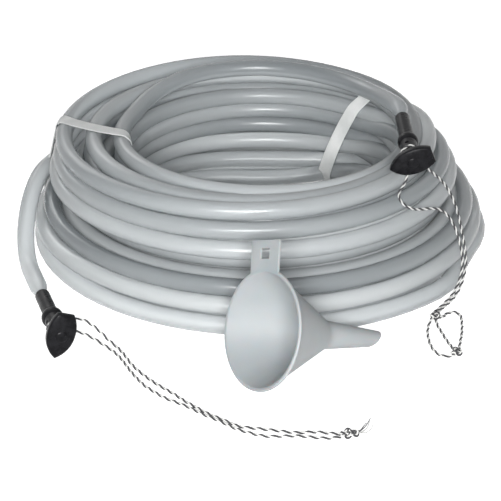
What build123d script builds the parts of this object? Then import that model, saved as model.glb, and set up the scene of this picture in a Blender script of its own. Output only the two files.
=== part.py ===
"""Hose water level: a coil of clear hose with a closing valve on each end, two straps,
two hanging cords and a filling funnel. Millimetres, +Z up, standing on the floor at z = 0.

Places are measured from the middle of the coil's base. Each node is moved by row_shift at
the end, which puts the origin at the middle of the whole part's footprint on the floor.
"""
from build123d import *
from math import asin, atan2, cos, degrees, pi, radians, sin, sqrt, tan
import os

# Origin of the part, and the gaps between pieces
row_shift = (0.5, 52.6)
soft_gap = 0.3
fit_gap = 0.05

# Hose
hose_od = 14.0
layer_pitch = 13.0

# Coil: each layer's middle and outer radius, from the floor upwards
coil_layers = [(4, -5, 190), (3, 0, 187), (2, 0, 181), (0, 0, 176), (-2, 0, 170), (-5, 1, 164), (-8, 3, 158)]
coil_inner_x = 7.0
coil_inner_radius = 111.0
coil_top = (len(coil_layers) - 1) * layer_pitch + hose_od
top_turn_angles = (-22.0, 17.0)

# Straps
strap_width = 12.5
strap_thickness = 0.8
strap_corner = 9.0
left_strap_root = (-100.0, -19.0, 46.0)
left_strap_out = (-0.79, 0.61, 0.0)
left_strap_lean = (0.0, 0.0, 1.0)
right_strap_root = (80.8, 80.4, 46.0)
right_strap_out = (0.73, 0.684, 0.0)
right_strap_lean = (0.255, -0.272, 0.928)

# Valve, by station along its axis from the sleeve's mouth
hose_neck_od = 8.4
hose_neck_bore = 5.2
hose_neck_depth = 30.0
hose_taper = 18.0
hose_last_run = 20.0
sleeve_wall = 1.6
sleeve_od = hose_neck_od + 2 * sleeve_wall
sleeve_edge = 1.1
sleeve_length = 35.4
collar_length = 4.0
nipple_bore = 3.4
nipple_barb = 5.1
nipple_core = 4.6
ball_station = 42.0
ball_radius = 8.3
barrel_od = 13.6
barrel_end = 68.5
plug_diameter = 9.5
plug_start = 47.4
plug_length = 17.4
port_station = 53.4
port_diameter = 3.4
seal_section = 1.3
seal_depth = 1.15
seal_stations = (49.6, 57.6)
stem_diameter = 6.8
stem_flats = 5.0
clip_thickness = 1.2
clip_depth = 0.55
clip_slot = 3.0
hub_diameter = 11.2
hub_height = 1.4
leaf_thickness = 6.0
leaf_tip = 18.5
leaf_blunt = 17.0
leaf_half_width = 10.7
leaf_cut_half_width = 6.3
leaf_edge = 1.6
rivet_diameter = 9.0
rivet_depth = 1.5
tie_station = 61.5
tie_groove_width = 3.0
tie_groove_depth = 0.8
tie_gap = 0.4

# Where each valve lies: the middle of its ball, its direction and how its leaf is turned
left_ball = (-152.7, -190.5, 16.46)
left_valve_yaw = 286.8
left_valve_pitch = 3.5
left_leaf_turn = 251.0
right_ball = (120.0, -73.0, coil_top + 17.8)
right_valve_yaw = 272.2
right_valve_pitch = -4.65
right_leaf_turn = 201.8

# Cords
cord_od = 2.2
pair_od = 4.4
bunch_od = 5.4
knot_radius = 4.6

# Funnel
funnel_rim_radius = 43.1
funnel_neck_radius = 11.0
funnel_tip_radius = 5.9
funnel_cone_length = 56.6
funnel_length = 111.0
funnel_wall = 1.5
funnel_bead = 1.2
funnel_yaw = 32.5
funnel_rim_floor = (-7.8, -261.9)
tip_cut_angle = 38.0
tab_width = 32.0
tab_reach = 21.5
tab_thickness = 1.6
tab_hole = 9.0
tab_turn = 24.0

# Points of the hose's two free ends and of the cords, chosen by hand along the photographed
# lines. A valve's own end points follow from its mouth and its tie.
left_hose_points = [(-180.8, 31, 48.5), (-185.3, 2, 45), (-188, -29, 36), (-188, -56, 23.5),
                    (-185.4, -76, 13), (-181, -95, 8.8)]
right_hose_points = [(-50.3, 107.7, coil_top + 7.3), (-22.5, 118.4, coil_top + 7.4),
                     (7, 122, coil_top + 7.3), (38.6, 117.8, coil_top + 7.8), (68, 105.7, coil_top + 10),
                     (93.3, 86.3, coil_top + 14), (111, 61, coil_top + 18.5), (119.4, 34, coil_top + 21.9)]
left_upper_points = [(-133.4, -205.3, 25.2), (-124.5, -204.5, 20.8), (-116, -204.8, 12.8),
                     (-108.5, -207.5, 5.2), (-102, -213.5, 1.8), (-96.8, -223.2, 1.3)]
left_lower_points = [(-131.5, -204.5, 12.5), (-121.5, -205.8, 7.8), (-112.5, -209.3, 3.2),
                     (-105.2, -215, 1.5), (-99.2, -224.4, 1.3)]
left_run_points = [(-97.8, -224.2, 2.4), (-91.3, -237, 2.4), (-82.5, -248.5, 2.4), (-73, -259.5, 2.4),
                   (-61.5, -273, 2.4), (-50, -285.4, 2.4), (-35, -302.5, 2.4), (-12.4, -318.5, 2.4),
                   (5, -326.5, 2.4), (22, -328.5, 2.4), (36.5, -330, 2.4), (50.5, -330.6, 2.4),
                   (60.5, -331.4, 2.8)]
left_knot_place = (65.3, -331.7, 4.7)
left_tail_points = [(69.3, -329.1, 2.1), (74.5, -323.5, 1.6), (77.5, -315.5, 1.4)]
right_far_points = [(134.2, -90, 95.3), (140.8, -85, 87.5), (147.6, -79.5, 79.6), (153.2, -74.6, 70.4),
                    (158, -74.5, 61.2), (161.2, -79.5, 52.4), (162.6, -87.5, 45.3), (163.8, -94.8, 39.6)]
right_near_points = [(119.2, -95, 92.5), (116, -101.5, 85.6), (111.2, -108.8, 82.8), (111.5, -115.6, 79.7),
                     (115.2, -119.8, 76.8), (120.9, -120, 73.9), (126.8, -113.8, 70.3), (136, -105.8, 67.6),
                     (145.6, -98, 63.4), (151.9, -94.2, 56.5), (157.2, -93.6, 48), (161.3, -95.9, 39.9)]
right_pair_points = [(162.8, -96.1, 39.3), (165.8, -103.5, 29), (165.6, -111.5, 20.3), (162.8, -120, 12.2),
                     (157.3, -129.5, 6), (149.8, -140, 3), (141.8, -151, 2.5), (137.2, -163.5, 2.6)]
right_bunch_points = [(136.8, -164.8, 2.9), (137.6, -175.5, 2.9), (139.7, -186.5, 2.9), (142, -197.5, 2.9),
                      (145.1, -208.8, 2.9), (148, -219.2, 2.9)]
right_loop_points = [(143.1, -162.4, 1.3), (143.4, -157.5, 1.3), (146.3, -153.5, 1.3), (151, -152, 1.3),
                     (155.7, -153.5, 1.3), (158.6, -157.5, 1.3), (158.7, -165.5, 1.3), (158, -176, 1.3),
                     (156.6, -187.5, 1.3), (154.4, -198.5, 1.3), (152.7, -208, 1.3), (151.8, -216.5, 1.3)]
right_bight_points = [(146.4, -221.5, 1.3), (140.2, -222, 1.3), (135.2, -217.6, 1.3), (132.3, -210.2, 1.3),
                      (130.9, -201, 1.3), (130.5, -191, 1.3), (131.2, -181, 1.3), (132.2, -173, 1.3)]


# Directions and frames

def heading(yaw, pitch):
    """Unit vector that points yaw degrees round from +X and pitch degrees up."""
    return Vector(cos(radians(yaw)) * cos(radians(pitch)), sin(radians(yaw)) * cos(radians(pitch)),
                  sin(radians(pitch)))


def valve_plane(ball, yaw, pitch, turn):
    """Plane at the sleeve's mouth, with z along the valve and x along the leaf's tip."""
    along = heading(yaw, pitch)
    level = Vector(0, 0, 1).cross(along).normalized()
    rise = along.cross(level)
    tip_way = level * cos(radians(turn)) + rise * sin(radians(turn))
    return Plane(origin=Vector(*ball) - along * ball_station, x_dir=tip_way, z_dir=along)


left_valve = valve_plane(left_ball, left_valve_yaw, left_valve_pitch, left_leaf_turn)
right_valve = valve_plane(right_ball, right_valve_yaw, right_valve_pitch, right_leaf_turn)


# Tubes of hose and cord

def corner_radii(points):
    """Arc radius at each inner point: as large as its two straight runs allow."""
    radii = []
    for before, here, after in zip(points, points[1:], points[2:]):
        run_in = here - before
        run_out = after - here
        half_turn = radians(run_in.get_angle(run_out)) / 2
        radii.append(0.45 * min(run_in.length, run_out.length) / tan(half_turn))
    return radii


def tube(name, points, diameter):
    """Round solid along straight runs joined by tangent arcs."""
    points = [Vector(*point) for point in points]
    radii = corner_radii(points)
    path = FilletPolyline(*points, radius=radii) if radii else Line(*points)
    start = Plane(origin=path @ 0, z_dir=path % 0)
    solid = sweep(start * Circle(diameter / 2), path=path)
    ratio = solid.volume / (pi * diameter ** 2 / 4 * path.length)
    least = min(radii) / diameter if radii else 0
    print(f"{name}: {path.length:.0f} mm long, least radius {least:.1f} diameters, volume ratio {ratio:.4f}")
    return solid


def valve_end_points(valve, points):
    """The hose's points, ended by a straight run up to its taper into the valve."""
    taper_start = valve.origin - valve.z_dir * hose_taper
    run_start = taper_start - valve.z_dir * hose_last_run
    return points + [tuple(run_start), tuple(taper_start)]


def hose_end(name, valve, points):
    """Free end of the hose, drawn down to a neck that fills the valve's sleeve."""
    run = tube(name, valve_end_points(valve, points), hose_od)
    outline = Polyline((0, -hose_taper), (hose_od / 2, -hose_taper), (hose_neck_od / 2, -1),
                       (hose_neck_od / 2, hose_neck_depth), (hose_neck_bore / 2, hose_neck_depth),
                       (hose_neck_bore / 2, 1), (0, 1), close=True)
    neck = revolve(make_face(Plane.XZ * outline), Axis.Z)
    return run + valve.location * neck


# Coil and straps

def crossing(root, outward, lean, side, height, circle, far):
    """Distance outward, in a strap's slanting plane, to a layer's circle at a given height."""
    middle_x, middle_y, radius = circle
    rise = (height - root.Z) / lean.Z
    start = root + lean * rise + side
    from_x = start.X - middle_x
    from_y = start.Y - middle_y
    half = from_x * outward.X + from_y * outward.Y
    root_term = sqrt(half ** 2 - (from_x ** 2 + from_y ** 2 - radius ** 2))
    return (-half + root_term if far else -half + root_term), rise


def convex_outline(points):
    """Corners of the convex outline round a set of flat points, anticlockwise."""
    points = sorted(set(points))
    halves = []
    for ordered in (points, points[::-1]):
        half = []
        for point in ordered:
            while len(half) > 1:
                (ax, ay), (bx, by) = half[-2:]
                if (bx - ax) * (point[1] - ay) - (by - ay) * (point[0] - ax) > 1e-6:
                    break
                half.pop()
            half.append(point)
        halves += half[:-1]
    return halves


def strap_faces(root, outward, lean):
    """The bundle's rounded outline in a strap's plane, and the level way across the strap."""
    root = Vector(*root)
    outward = Vector(*outward).normalized()
    lean = Vector(*lean).normalized()
    across = Vector(0, 0, 1).cross(outward).normalized()
    corners = []
    for index, layer in enumerate(coil_layers):
        for height in (index * layer_pitch, (index + 1) * layer_pitch + top_extra(index)):
            for share in (-0.5, 0, 0.5):
                side = across * (share * strap_width)
                corners.append(crossing(root, outward, lean, side, height, layer, True))
                inner_circle = (coil_inner_x, 0, coil_inner_radius)
                corners.append(crossing(root, outward, lean, side, height, inner_circle, False))
    plane = Plane(origin=root, x_dir=outward, z_dir=outward.cross(lean))
    corners = [(round(u, 3), round(v, 3)) for u, v in corners]
    hull = make_face(Polyline(*convex_outline(corners), close=True))
    rounded = offset(offset(hull, -strap_corner, kind=Kind.INTERSECTION), strap_corner)
    return plane, across, rounded


def top_extra(index):
    """The top layer is a whole hose high, and the others are one pitch."""
    return hose_od - layer_pitch if index == len(coil_layers) - 1 else 0


def band(root, outward, lean, inset, thickness, width):
    """Closed band round the bundle, its outer face inset from the bundle's outline."""
    plane, across, rounded = strap_faces(root, outward, lean)
    outer = offset(rounded, -inset) if inset else rounded
    inner = offset(rounded, -inset - thickness)
    loop = plane * (outer - inner)
    loop = loop.moved(Location(across * (-width / 2)))
    return extrude(loop, amount=width, dir=across)


def strap(root, outward, lean):
    """Plastic packing strap, flush with the bundle it bites into."""
    return band(root, outward, lean, 0, strap_thickness, strap_width)


def strap_groove(root, outward, lean):
    """What a strap presses out of the bundle."""
    plane, across, rounded = strap_faces(root, outward, lean)
    width = strap_width + 2 * soft_gap
    wide = offset(rounded, strap_corner)
    loop = plane * (wide - offset(rounded, -strap_thickness - soft_gap))
    loop = loop.moved(Location(across * (-width / 2)))
    return extrude(loop, amount=width, dir=across)


def hose_coil():
    """Outer shape of the wound hose: stacked layers, and part of one more turn on top."""
    coil = None
    for index, (middle_x, middle_y, radius) in enumerate(coil_layers):
        height = layer_pitch + top_extra(index)
        place = Pos(middle_x, middle_y, index * layer_pitch + height / 2)
        layer = place * Cylinder(radius, height)
        coil = layer if coil is None else coil + layer
    low, high = top_turn_angles
    turn = CenterArc((coil_inner_x, 0), coil_inner_radius + hose_od / 2, low, high - low)
    ledge = extrude(Pos(0, 0, coil_top - (hose_od - layer_pitch)) * trace(turn, hose_od), amount=hose_od)
    coil = coil + ledge
    coil = coil - Pos(coil_inner_x, 0, coil_top / 2) * Cylinder(coil_inner_radius, coil_top * 2)
    coil = coil - strap_groove(left_strap_root, left_strap_out, left_strap_lean)
    return coil - strap_groove(right_strap_root, right_strap_out, right_strap_lean)


# Valve, built along +Z from the sleeve's mouth with the leaf's tip towards +X

def ring(outer, inner, low, high):
    """Plain ring about the valve's axis between two stations."""
    outline = Polyline((inner, low), (outer, low), (outer, high), (inner, high), close=True)
    return revolve(make_face(Plane.XZ * outline), Axis.Z)


def rod(radius, low, high):
    """Plain round between two stations."""
    return Pos(0, 0, (low + high) / 2) * Cylinder(radius, high - low)


def valve_sleeve():
    """Collar that the hose's neck goes into, rounded at its mouth."""
    sleeve = ring(sleeve_od / 2, hose_neck_od / 2 + fit_gap, 0, sleeve_length)
    rim = sleeve.edges().filter_by(GeomType.CIRCLE).group_by(Axis.Z)[0].sort_by(SortBy.RADIUS)[-1]
    return fillet(rim, min(sleeve_edge, 0.7 * sleeve_wall))


def valve_body():
    """Barbed nipple, ball and barrel in one moulding, bored for the plug."""
    ball = Pos(0, 0, ball_station) * Sphere(ball_radius)
    collar_start = sleeve_length - collar_length
    body = ball + rod(barrel_od / 2, ball_station, barrel_end)
    body = body - ring(ball_radius + 1, hose_neck_od / 2, collar_start, sleeve_length + soft_gap)
    body = body + rod(hose_neck_od / 2, collar_start, ball_station)
    body = body + rod(nipple_core / 2, 3, collar_start)
    for start in (5, 11, 17, 23):
        barb = Polyline((0, start), (nipple_core / 2 - 0.2, start), (nipple_barb / 2, start + 3),
                        (nipple_core / 2 - 0.2, start + 3.6), (0, start + 3.6), close=True)
        body = body + revolve(make_face(Plane.XZ * barb), Axis.Z)
    body = body - rod(nipple_bore / 2, 0, plug_start + 1)
    body = body - rod(plug_diameter / 2 + fit_gap, plug_start - soft_gap, barrel_end + 1)
    body = body - ring(barrel_od, barrel_od / 2 - tie_groove_depth, tie_station - tie_groove_width / 2,
                       tie_station + tie_groove_width / 2)
    body = body - clip_ring(fit_gap, 0)
    port = Pos(0, -barrel_od / 2, port_station) * Rot(90, 0, 0) * Cylinder(port_diameter / 2, barrel_od)
    return body - port


def clip_ring(extra, slot):
    """The retaining clip, or with some extra all round, the groove it sits in."""
    low = plug_start + plug_length + soft_gap
    clip = ring(plug_diameter / 2 + clip_depth + extra, stem_diameter / 2 + fit_gap - extra,
                low - extra, low + clip_thickness + extra)
    if slot:
        clip = clip - Pos(plug_diameter / 2, 0, low) * Box(plug_diameter, slot, 4 * clip_thickness)
    return clip


def retaining_clip():
    """Split ring in the barrel's mouth that holds the plug in."""
    return clip_ring(0, clip_slot)


def stem_section(clearance):
    """Round with two flats, which turns the plug with the leaf."""
    round_part = Circle(stem_diameter / 2 + clearance)
    return round_part & Rectangle(2 * stem_diameter, stem_flats + 2 * clearance)


def hub_station():
    """Where the leaf's hub starts, a running gap past the barrel."""
    return barrel_end + soft_gap


def leaf_front():
    """Station of the leaf's front face."""
    return hub_station() + hub_height + leaf_thickness


def valve_plug():
    """Turning plug with an angled drilling, two seal grooves and a riveted stem."""
    shoulder = plug_start + plug_length
    plug = rod(plug_diameter / 2, plug_start, shoulder)
    plug = plug + rod(stem_diameter / 2, shoulder, hub_station())
    recess = leaf_front() - rivet_depth
    stem = extrude(Pos(0, 0, hub_station()) * stem_section(0), amount=recess - hub_station())
    plug = plug + stem + rod(rivet_diameter / 2, recess + fit_gap, leaf_front() - 0.3)
    plug = plug + extrude(Pos(0, 0, recess) * stem_section(0), amount=fit_gap)
    for station in seal_stations:
        plug = plug - ring(plug_diameter, plug_diameter / 2 - seal_depth, station - seal_section / 2 - 0.1,
                           station + seal_section / 2 + 0.1)
    plug = plug - rod(port_diameter / 2, plug_start - 1, port_station)
    cross = Pos(0, 0, port_station) * Rot(0, 90, 0) * Cylinder(port_diameter / 2, plug_diameter,
                                                               align=(Align.CENTER, Align.CENTER, Align.MIN))
    return plug - cross


def plug_seals():
    """Two sealing rings in the plug's grooves."""
    section = seal_section / 2 - 0.07
    middle = plug_diameter / 2 + fit_gap / 2 - section
    return [Pos(0, 0, station) * Torus(middle, section) for station in seal_stations]


def leaf_outline():
    """Leaf outline: pointed at +X, cut off square at -X."""
    tip = (leaf_tip, 0)
    cut = -leaf_blunt
    upper = ThreePointArc(tip, (leaf_tip * 0.48, leaf_half_width * 0.8), (-1.5, leaf_half_width))
    upper_back = ThreePointArc((-1.5, leaf_half_width), (cut * 0.55, leaf_half_width * 0.92),
                               (cut, leaf_cut_half_width))
    end = Line((cut, leaf_cut_half_width), (cut, -leaf_cut_half_width))
    lower_back = ThreePointArc((cut, -leaf_cut_half_width), (cut * 0.55, -leaf_half_width * 0.92),
                               (-1.5, -leaf_half_width))
    lower = ThreePointArc((-1.5, -leaf_half_width), (leaf_tip * 0.48, -leaf_half_width * 0.8), tip)
    return make_face([upper, upper_back, end, lower_back, lower])


def leaf_handle():
    """Leaf-shaped handle with a hub, held on the plug's stem by the rivet head."""
    start = hub_station() + hub_height
    leaf = extrude(Pos(0, 0, start) * leaf_outline(), amount=leaf_thickness)
    front = leaf.faces().sort_by(Axis.Z)[-1]
    leaf = fillet(front.edges(), leaf_edge)
    leaf = leaf + rod(hub_diameter / 2, hub_station(), start + 1)
    slot = extrude(Pos(0, 0, hub_station() - 1) * stem_section(fit_gap), amount=leaf_thickness + hub_height)
    recess = rod(rivet_diameter / 2 + fit_gap, leaf_front() - rivet_depth, leaf_front() + 1)
    return leaf - slot - recess


def cord_tie():
    """The cord's round turn in the barrel's groove."""
    middle = barrel_od / 2 - tie_groove_depth + soft_gap + cord_od / 2
    return Pos(0, 0, tie_station) * Torus(middle, cord_od / 2)


def tie_point(valve, toward):
    """Point just outside the cord's round turn, on the side that faces the cord's next point."""
    middle = valve.origin + valve.z_dir * tie_station
    away = Vector(*toward) - middle
    away = (away - valve.z_dir * away.dot(valve.z_dir)).normalized()
    reach = barrel_od / 2 - tie_groove_depth + soft_gap + cord_od + tie_gap
    return tuple(middle + away * reach)


def cord_from_tie(name, valve, points):
    """One strand of a hanging cord, from the valve's waist onwards."""
    return tube(name, [tie_point(valve, points[0])] + points, cord_od)


# Funnel, built along +Z from the spout's end to the mouth

def tip_low_point():
    """Station and radius of the spout end's lower corner, where the slanting cut ends."""
    drop = 2 * funnel_tip_radius * tan(radians(tip_cut_angle))
    station = funnel_length - drop
    taper = (funnel_neck_radius - funnel_tip_radius) / (funnel_length - funnel_cone_length)
    return station, funnel_tip_radius + taper * drop


def funnel_tilt():
    """Tilt at which the rim and the spout's end both touch the floor."""
    station, radius = tip_low_point()
    across = funnel_rim_radius - radius
    along = station - funnel_bead
    return degrees(atan2(across, along) + asin(funnel_bead / sqrt(across ** 2 + along ** 2)))


def funnel_plane():
    """Plane at the middle of the mouth, with z out of the mouth and x up in the rim."""
    tilt = funnel_tilt()
    outward = -heading(funnel_yaw, 0) * cos(radians(tilt)) + Vector(0, 0, sin(radians(tilt)))
    uphill = (Vector(0, 0, 1) - outward * outward.Z).normalized()
    rest = Vector(funnel_rim_floor[0], funnel_rim_floor[1], funnel_bead)
    middle = rest + uphill * funnel_rim_radius + outward * funnel_bead
    return Plane(origin=middle, x_dir=uphill, z_dir=outward)


def funnel_profile():
    """Wall of cone and spout, with a bead round the rim."""
    neck = -funnel_cone_length
    end = -funnel_length
    outer = [(funnel_tip_radius, end), (funnel_neck_radius, neck), (funnel_rim_radius, 0)]
    inner = [(funnel_rim_radius - funnel_wall, 0), (funnel_neck_radius - funnel_wall, neck + 0.8),
             (funnel_tip_radius - funnel_wall, end)]
    return make_face(Plane.XZ * Polyline(*outer, *inner, close=True))


def funnel():
    """Moulded filling funnel with a slanting spout end and a flat hanging tab."""
    body = revolve(funnel_profile(), Axis.Z)
    body = body + Pos(0, 0, -funnel_bead) * Torus(funnel_rim_radius, funnel_bead)
    cutter = Box(60, 60, 40, align=(Align.CENTER, Align.CENTER, Align.MAX))
    body = body - Pos(funnel_tip_radius, 0, -funnel_length) * Rot(0, tip_cut_angle, 0) * cutter
    reach = funnel_rim_radius - 4
    tab = Pos(reach, 0, 0) * Box(tab_reach + 4, tab_width, tab_thickness,
                                 align=(Align.MIN, Align.CENTER, Align.MAX))
    hole_at = funnel_rim_radius + tab_reach / 2 + 1
    tab = tab - Pos(hole_at, 0, 0) * Box(tab_hole, tab_hole, 4 * tab_thickness)
    tab = Rot(0, 0, tab_turn) * tab
    hollow = Polyline((0, 1), (funnel_rim_radius - funnel_wall, 1), (funnel_rim_radius - funnel_wall, 0),
                      (funnel_neck_radius - funnel_wall, -funnel_cone_length + 0.8),
                      (0, -funnel_cone_length + 0.8), close=True)
    tab = tab - revolve(make_face(Plane.XZ * hollow), Axis.Z)
    return body + tab


# All nodes

def knot(place):
    """Round overhand knot at a cord's end."""
    return Pos(*place) * Sphere(knot_radius)


nodes = {
    "hose_coil": [hose_coil()],
    "left_hose_end": [hose_end("left_hose_end", left_valve, left_hose_points)],
    "right_hose_end": [hose_end("right_hose_end", right_valve, right_hose_points)],
    "left_strap": [strap(left_strap_root, left_strap_out, left_strap_lean)],
    "right_strap": [strap(right_strap_root, right_strap_out, right_strap_lean)],
}
for side, valve in (("left", left_valve), ("right", right_valve)):
    place = valve.location
    nodes[f"{side}_valve_sleeve"] = [place * valve_sleeve()]
    nodes[f"{side}_valve_body"] = [place * valve_body()]
    nodes[f"{side}_retaining_clip"] = [place * retaining_clip()]
    nodes[f"{side}_valve_plug"] = [place * valve_plug()]
    nodes[f"{side}_plug_seals"] = [place * seal for seal in plug_seals()]
    nodes[f"{side}_leaf_handle"] = [place * leaf_handle()]
    nodes[f"{side}_cord_tie"] = [place * cord_tie()]
nodes["left_cord_upper"] = [cord_from_tie("left_cord_upper", left_valve, left_upper_points)]
nodes["left_cord_lower"] = [cord_from_tie("left_cord_lower", left_valve, left_lower_points)]
nodes["left_cord_run"] = [tube("left_cord_run", left_run_points, pair_od)]
nodes["left_cord_knot"] = [knot(left_knot_place)]
nodes["left_cord_tail"] = [tube("left_cord_tail", left_tail_points, cord_od)]
nodes["right_cord_far"] = [cord_from_tie("right_cord_far", right_valve, right_far_points)]
nodes["right_cord_near"] = [cord_from_tie("right_cord_near", right_valve, right_near_points)]
nodes["right_cord_pair"] = [tube("right_cord_pair", right_pair_points, pair_od)]
nodes["right_cord_knot"] = [tube("right_cord_knot", right_bunch_points, bunch_od)]
nodes["right_cord_loop"] = [tube("right_cord_loop", right_loop_points, cord_od)]
nodes["right_cord_bight"] = [tube("right_cord_bight", right_bight_points, cord_od)]
nodes["funnel"] = [funnel_plane().location * funnel()]

os.makedirs("parts", exist_ok=True)
shift = Location((row_shift[0], row_shift[1], 0))
for name, pieces in nodes.items():
    solids = [solid for piece in pieces for solid in piece.solids()]
    moved = [solid.moved(shift) for solid in solids]
    whole = moved[0] if len(moved) == 1 else Compound(children=moved)
    export_step(whole, f"parts/{name}.step")
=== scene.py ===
import bmesh
import bpy
import numpy as np
from math import asin, atan2, cos, pi, radians, sin, sqrt, tan, tau
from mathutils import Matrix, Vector


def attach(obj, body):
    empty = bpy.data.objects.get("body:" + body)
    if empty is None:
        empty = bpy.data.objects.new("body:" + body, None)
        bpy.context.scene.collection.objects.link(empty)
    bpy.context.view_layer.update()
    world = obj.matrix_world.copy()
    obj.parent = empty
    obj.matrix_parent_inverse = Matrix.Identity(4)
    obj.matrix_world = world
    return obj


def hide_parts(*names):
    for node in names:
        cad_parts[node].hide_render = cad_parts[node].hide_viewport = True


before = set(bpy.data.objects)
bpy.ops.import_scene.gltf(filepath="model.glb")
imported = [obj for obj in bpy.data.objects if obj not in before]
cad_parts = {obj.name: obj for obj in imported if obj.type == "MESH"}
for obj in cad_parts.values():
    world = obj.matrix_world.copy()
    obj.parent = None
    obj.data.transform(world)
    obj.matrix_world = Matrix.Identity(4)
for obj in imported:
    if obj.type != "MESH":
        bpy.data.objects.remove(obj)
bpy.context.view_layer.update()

# The room: a white floor that the level lies on, a white backdrop, a soft lamp in front and a weaker one
# behind. The camera stands where the photograph was taken from, 1.5 m away and 24 degrees up.
scene = bpy.context.scene
scene.view_settings.view_transform = "Standard"
coil_middle = np.array([0.0005, 0.0526, 0.0])
camera_rise = radians(24.3)
camera_distance = 1.5
aim_height = 0.05
aim_down = camera_rise + radians(2.485)
aim_left = radians(0.1765)
picture_width = 501
focal_pixels = 1785
sensor_width = 36.0

camera_data = bpy.data.cameras.new("camera")
camera_data.sensor_width = sensor_width
camera_data.lens = focal_pixels / picture_width * sensor_width
camera = bpy.data.objects.new("camera", camera_data)
scene.collection.objects.link(camera)
eye = np.array([0.0, -cos(camera_rise), sin(camera_rise)]) * camera_distance
camera.location = coil_middle + (0, 0, aim_height) + eye
gaze = Vector((-sin(aim_left) * cos(aim_down), cos(aim_left) * cos(aim_down), -sin(aim_down)))
camera.rotation_mode = "QUATERNION"
camera.rotation_quaternion = gaze.to_track_quat("-Z", "Y")
scene.camera = camera


def plain_mesh(name, points, faces, smooth=True):
    """Mesh object at the origin, made from points in metres."""
    mesh = bpy.data.meshes.new(name)
    mesh.from_pydata([tuple(p) for p in points], [], [tuple(f) for f in faces])
    mesh.polygons.foreach_set("use_smooth", [smooth] * len(mesh.polygons))
    mesh.update()
    piece = bpy.data.objects.new(name, mesh)
    scene.collection.objects.link(piece)
    return piece


def new_material(name, color, roughness):
    """Material with its nodes and its main shader, plain so far."""
    material = bpy.data.materials.new(name)
    material.use_nodes = True
    shader = material.node_tree.nodes["Principled BSDF"]
    shader.inputs["Base Color"].default_value = (*color, 1)
    shader.inputs["Roughness"].default_value = roughness
    return material, material.node_tree, shader


def soft_lamp(name, place, aim, size, watts):
    """Rectangular soft lamp that points at a place."""
    data = bpy.data.lights.new(name, "AREA")
    data.shape = "RECTANGLE"
    data.size, data.size_y = size
    data.energy = watts
    light = bpy.data.objects.new(name, data)
    light.location = place
    light.rotation_mode = "QUATERNION"
    light.rotation_quaternion = (Vector(aim) - Vector(place)).to_track_quat("-Z", "Y")
    scene.collection.objects.link(light)


def seen_directly(tree):
    """1 where a ray comes from the camera, a reflection or a clear piece, and 0 for the room's light."""
    path = tree.nodes.new("ShaderNodeLightPath")
    total = path.outputs["Is Camera Ray"]
    for ray in ("Is Glossy Ray", "Is Transmission Ray"):
        add = tree.nodes.new("ShaderNodeMath")
        add.operation = "MAXIMUM"
        tree.links.new(total, add.inputs[0])
        tree.links.new(path.outputs[ray], add.inputs[1])
        total = add.outputs[0]
    return total


floor_reach = 4.0
floor_drop = 0.0005
floor_brightness = 0.9
corners = [(-floor_reach, -floor_reach), (floor_reach, -floor_reach), (floor_reach, floor_reach),
           (-floor_reach, floor_reach)]
floor = plain_mesh("floor", [(x, y, -floor_drop) for x, y in corners], [(0, 1, 2, 3)], smooth=False)
floor_paint, floor_tree, floor_shader = new_material("floor_white", (0.62, 0.62, 0.62), 0.7)
floor_shader.inputs["Emission Color"].default_value = (1, 1, 1, 1)
floor_glow = floor_tree.nodes.new("ShaderNodeMath")
floor_glow.operation = "MULTIPLY"
floor_glow.inputs[1].default_value = floor_brightness
floor_tree.links.new(seen_directly(floor_tree), floor_glow.inputs[0])
floor_tree.links.new(floor_glow.outputs[0], floor_shader.inputs["Emission Strength"])
floor.data.materials.append(floor_paint)

world = bpy.data.worlds.new("studio")
scene.world = world
world.use_nodes = True
world_tree = world.node_tree
room_light = world_tree.nodes["Background"]
room_light.inputs["Color"].default_value = (0.80, 0.83, 0.86, 1)
room_light.inputs["Strength"].default_value = 0.09
backdrop = world_tree.nodes.new("ShaderNodeBackground")
backdrop.inputs["Color"].default_value = (1, 1, 1, 1)
backdrop.inputs["Strength"].default_value = 1.0
room_mix = world_tree.nodes.new("ShaderNodeMixShader")
world_tree.links.new(seen_directly(world_tree), room_mix.inputs["Fac"])
world_tree.links.new(room_light.outputs[0], room_mix.inputs[1])
world_tree.links.new(backdrop.outputs[0], room_mix.inputs[2])
world_tree.links.new(room_mix.outputs[0], world_tree.nodes["World Output"].inputs["Surface"])
soft_lamp("front_lamp", (-0.03, -1.38, 0.63), (0, 0, 0.05), (0.6, 0.3), 27)
soft_lamp("back_lamp", (-0.9, 1.6, 1.2), (0, 0.05, 0.05), (0.9, 0.7), 6)

# The hose: about 26 m of clear PVC tube of 14 mm outside, wound by hand in seven layers round a hollow
# middle. It starts at the right valve, runs over the top of the coil, and leaves the outside at the left.
mm = 0.001
hose_radius = 0.007
layer_pitch = 13.0
first_layer_height = 7.2
# Each layer's outer circle from the bottom up: middle x and y and radius, in mm, and its turns side by side
layer_outline = [(4, -5, 190), (3, 0, 187), (2, 0, 181), (0, 0, 176), (-2, 0, 170), (-5, 1, 164),
                 (-8, 3, 158)]
layer_columns = [5, 5, 5, 4, 4, 3, 3]
# The innermost turn's line: middle x and radius, and how far the outermost turn's line lies inside
inner_middle = 7.0
inner_radius = 118.0
outer_inset = 7.4
# The places that the hose takes in turn: layer, and column from the inside out
turn_order = [(6, 0), (6, 1), (6, 2), (5, 2), (5, 1), (5, 0), (4, 0), (4, 1), (4, 2), (4, 3),
              (3, 2), (3, 1), (3, 0), (2, 0), (2, 1), (1, 1), (1, 0), (0, 0), (0, 1), (0, 2), (0, 3), (0, 4),
              (1, 4), (1, 3), (1, 2), (2, 2), (2, 3), (2, 4), (3, 3)]
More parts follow.
